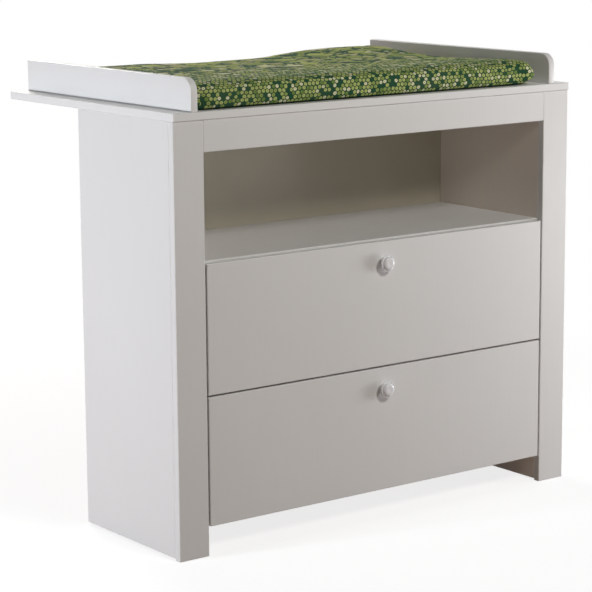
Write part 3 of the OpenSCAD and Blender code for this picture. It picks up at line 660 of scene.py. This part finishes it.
# The turned outline: radius, and distance out from the drawer front
knob_outline = ((0.0092, 0.0), (0.0092, 0.0008), (0.0086, 0.0016), (0.0080, 0.0030),
                (0.0078, 0.0052), (0.0084, 0.0072), (0.0104, 0.0088), (0.0140, 0.0098),
                (0.0168, 0.0106), (0.0181, 0.0118), (0.0185, 0.0132), (0.0183, 0.0147),
                (0.0176, 0.0157), (0.0167, 0.0159), (0.0159, 0.0154), (0.0153, 0.0144),
                (0.0147, 0.0141), (0.0143, 0.0147), (0.0142, 0.0162), (0.0139, 0.0183),
                (0.0129, 0.0203), (0.0109, 0.0215), (0.0075, 0.0220), (0.0042, 0.0217),
                (0.0016, 0.0214))
knob_lacquer, shader = start_finish("glossy_white_lacquer")
where = place(knob_lacquer)
plug(knob_lacquer, shader.inputs["Base Color"],
     blend(knob_lacquer, mottle(knob_lacquer, where, 60), (0.87, 0.87, 0.90, 1),
           (0.90, 0.90, 0.93, 1)))
plug(knob_lacquer, shader.inputs["Roughness"],
     mottle(knob_lacquer, where, 240, 0.18, 0.27, 3))
shader.inputs["Coat Weight"].default_value = 0.35
shader.inputs["Coat Roughness"].default_value = 0.12
plug(knob_lacquer, shader.inputs["Normal"],
     bump(knob_lacquer, speckle(knob_lacquer, where, 420, 2), 0.00008, 0.35))
for level in ("upper", "lower"):
    low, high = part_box(level + "_drawer_knob")
    middle = (low + high) / 2
    bm = bmesh.new()
    outline = [bm.verts.new((r, -out, 0)) for r, out in knob_outline]
    strip = [bm.edges.new(pair) for pair in zip(outline, outline[1:])]
    bmesh.ops.spin(bm, geom=outline + strip, cent=(0, 0, 0), axis=(0, 1, 0), dvec=(0, 0, 0),
                   angle=2 * math.pi, steps=40, use_merge=True)
    bmesh.ops.remove_doubles(bm, verts=bm.verts, dist=1e-6)
    bmesh.ops.holes_fill(bm, edges=[e for e in bm.edges if e.is_boundary], sides=0)
    bmesh.ops.translate(bm, vec=(middle.x, high.y, middle.z), verts=bm.verts)
    knob = make_piece(level + "_drawer_knob_turned", bm, knob_lacquer, level + "_drawer",
                      1.4)
    smoother = knob.modifiers.new("smoother", "SUBSURF")
    smoother.levels = smoother.render_levels = 1
    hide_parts(level + "_drawer_knob")


# ---- Runners and rollers ----
# Folded sheet-steel runners with a cream epoxy coat, one on each drawer side and one on each
# chest wall, with a white nylon roller riveted to the end of each.

epoxy, shader = start_finish("cream_epoxy_coat")
where = place(epoxy)
plug(epoxy, shader.inputs["Base Color"],
     blend(epoxy, mottle(epoxy, where, 30), (0.76, 0.73, 0.66, 1), (0.80, 0.78, 0.71, 1)))
plug(epoxy, shader.inputs["Roughness"],
     fade(epoxy, speckle(epoxy, place(epoxy, (40, 2, 40)), 8, 3), 0.35, 0.7, 0.30, 0.46))
plug(epoxy, shader.inputs["Normal"], bump(epoxy, speckle(epoxy, where, 650, 2), 0.0001, 0.6))
for level in ("upper", "lower"):
    for side in ("left", "right"):
        dress(epoxy, f"cabinet_runner_{level}_{side}", f"{level}_drawer_runner_{side}")

nylon, shader = start_finish("white_nylon")
where = place(nylon)
plug(nylon, shader.inputs["Base Color"],
     blend(nylon, fade(nylon, speckle(nylon, where, 160), 0.4, 0.8), (0.80, 0.80, 0.77, 1),
           (0.62, 0.61, 0.58, 1)))
plug(nylon, shader.inputs["Roughness"], mottle(nylon, where, 500, 0.32, 0.48, 3))
shader.inputs["Subsurface Weight"].default_value = 0.08
shader.inputs["Subsurface Radius"].default_value = (0.002, 0.002, 0.0018)
plug(nylon, shader.inputs["Normal"], bump(nylon, speckle(nylon, where, 900), 0.00005, 0.5))
for level in ("upper", "lower"):
    for side in ("left", "right"):
        dress(nylon, f"cabinet_roller_{level}_{side}", f"{level}_drawer_roller_{side}")


# ---- Screws, brackets and cam fittings ----
# Zinc-plated screws hold the rails, runners, brackets and back panel. Bent steel angles hold
# the board down and take the wall screws, and die-cast cams pull the panels together.

def metal(name, colour, rough, stretch, grain, depth):
    finish, shader = start_finish(name)
    where = place(finish)
    mark = speckle(finish, place(finish, stretch), grain, 4, 0.6)
    dull = tuple(c * 0.72 for c in colour)
    plug(finish, shader.inputs["Base Color"],
         blend(finish, fade(finish, speckle(finish, where, 130, 3), 0.3, 0.75), (*colour, 1),
               (*dull, 1)))
    shader.inputs["Metallic"].default_value = 1.0
    plug(finish, shader.inputs["Roughness"],
         fade(finish, mark, 0.3, 0.7, rough - 0.07, rough + 0.09))
    plug(finish, shader.inputs["Normal"], bump(finish, mark, depth, 0.5))
    return finish


zinc = metal("zinc_plated_screws", (0.66, 0.67, 0.69), 0.30, (1, 1, 1), 700, 0.00004)
dress(zinc, "guard_rail_screws", "angle_bracket_screws", "wall_bracket_screws",
      "back_panel_screws", "cam_bolts", "cabinet_runner_screws", "upper_drawer_knob_screw",
      "lower_drawer_knob_screw", "upper_drawer_fixings", "lower_drawer_fixings")
dress(metal("zinc_plated_sheet", (0.64, 0.65, 0.67), 0.36, (30, 2, 30), 22, 0.00004),
      "angle_brackets", "wall_brackets")
dress(metal("die_cast_zinc", (0.52, 0.52, 0.53), 0.52, (1, 1, 1), 1100, 0.00012), "cam_nuts")


# ---- Glides ----
# Grey polyethylene discs nailed under the rear ends of the sides, so that the chest stands on
# them at the back and on its stiles at the front.

glide, shader = start_finish("grey_polyethylene")
where = place(glide)
plug(glide, shader.inputs["Base Color"],
     blend(glide, mottle(glide, where, 190, detail=3), (0.24, 0.24, 0.235, 1),
           (0.31, 0.31, 0.30, 1)))
plug(glide, shader.inputs["Roughness"], mottle(glide, where, 420, 0.46, 0.62, 3))
plug(glide, shader.inputs["Normal"], bump(glide, speckle(glide, where, 1500), 0.00006, 0.5))
dress(glide, "floor_glides")


# ---- Floor, lamps and camera ----
# A plain pale studio: a white floor that keeps the table's shadow and sends a little warm
# light back, a soft lamp on the left, just under the board's height, one high in front, a weak
# one low on the right, and one behind.

bm = bmesh.new()
bmesh.ops.create_circle(bm, cap_ends=True, segments=96, radius=60)
sheet = bpy.data.meshes.new("studio_floor")
bm.to_mesh(sheet)
bm.free()
floor = bpy.data.objects.new("studio_floor", sheet)
bpy.context.scene.collection.objects.link(floor)


def seen_directly(finish):
    """1 for what the camera sees, also by way of gloss and glass, and 0 for other light."""
    ray = put(finish, "LightPath").outputs
    return calc(finish, "MAXIMUM", ray["Is Camera Ray"],
                calc(finish, "MAXIMUM", ray["Is Glossy Ray"], ray["Is Transmission Ray"]))


# The camera sees white paper with a soft shadow near the table, which fades to pure white, and
# other light meets plain warm paper
paper, shader = start_finish("studio_paper")
paper.node_tree.nodes.remove(shader)
direct = seen_directly(paper)
reach = put(paper, "VectorMath", {0: place(paper)}, operation="LENGTH").outputs["Value"]
shaded = put(paper, "AddShader", {
    0: put(paper, "BsdfDiffuse", {"Color": grey(0.30)}).outputs[0],
    1: put(paper, "Emission", {"Color": grey(1.0), "Strength": 0.80}).outputs[0]}).outputs[0]
pure = put(paper, "Emission", {"Color": grey(1.0), "Strength": 1.0}).outputs[0]
shown = put(paper, "MixShader", {0: fade(paper, reach, 0.9, 2.2), 1: shaded, 2: pure})
plain = put(paper, "BsdfDiffuse", {"Color": (0.37, 0.278, 0.237, 1)}).outputs[0]
both = put(paper, "MixShader", {0: direct, 1: plain, 2: shown.outputs[0]})
plug(paper, paper.node_tree.nodes["Material Output"].inputs["Surface"], both.outputs[0])
sheet.materials.append(paper)

world = bpy.data.worlds.new("studio_surround")
bpy.context.scene.world = world
world.use_nodes = True
sky = world.node_tree.nodes["Background"]
plug(world, sky.inputs["Strength"], fade(world, seen_directly(world), 0.0, 1.0, 0.02, 1.0))
sky.inputs["Color"].default_value = (1, 1, 1, 1)


def soft_lamp(name, at, aim, size, power, tint):
    lamp = bpy.data.lights.new(name, "AREA")
    lamp.shape = "DISK"
    lamp.size = size
    lamp.energy = power
    lamp.color = tint
    holder = bpy.data.objects.new(name, lamp)
    holder.location = at
    holder.rotation_euler = (Vector(aim) - Vector(at)).to_track_quat("-Z", "Y").to_euler()
    bpy.context.scene.collection.objects.link(holder)


soft_lamp("lamp_left", (-3.1, 0.24, 0.77), (-0.5, -0.1, 0.50), 0.28, 53.4, (0.925, 0.955, 1.0))
soft_lamp("lamp_front", (0.15, -3.2, 2.7), (0.0, -0.2, 0.6), 0.9, 54, (1.0, 0.975, 0.91))
soft_lamp("lamp_right", (1.8, -1.05, 0.45), (0.3, -0.2, 0.5), 0.8, 14, (0.94, 0.96, 1.0))
soft_lamp("lamp_behind", (0.50, 3.25, 2.4), (0.0, 0.0, 0.5), 1.4, 75, (1.0, 0.95, 0.90))

# The camera stands in front and to the left, a little above the board, and looks down slightly
stand = (-2.8403, -3.7860, 1.3260)
yaw, pitch, roll = 0.643, 0.1856, -0.0071
ahead = Vector((math.sin(yaw) * math.cos(pitch), math.cos(yaw) * math.cos(pitch),
                -math.sin(pitch)))
right = Vector((math.cos(yaw), -math.sin(yaw), 0))
above = right.cross(ahead)
across = math.cos(roll) * right + math.sin(roll) * above
upward = math.cos(roll) * above - math.sin(roll) * right
camera = bpy.data.cameras.new("camera")
camera.sensor_width = 36
camera.lens = 132.13
camera.clip_end = 200
eye = bpy.data.objects.new("camera", camera)
eye.matrix_world = (Matrix.Translation(stand)
                    @ Matrix((across, upward, -ahead)).transposed().to_4x4())
bpy.context.scene.collection.objects.link(eye)
bpy.context.scene.camera = eye
bpy.context.scene.view_settings.view_transform = "Standard"
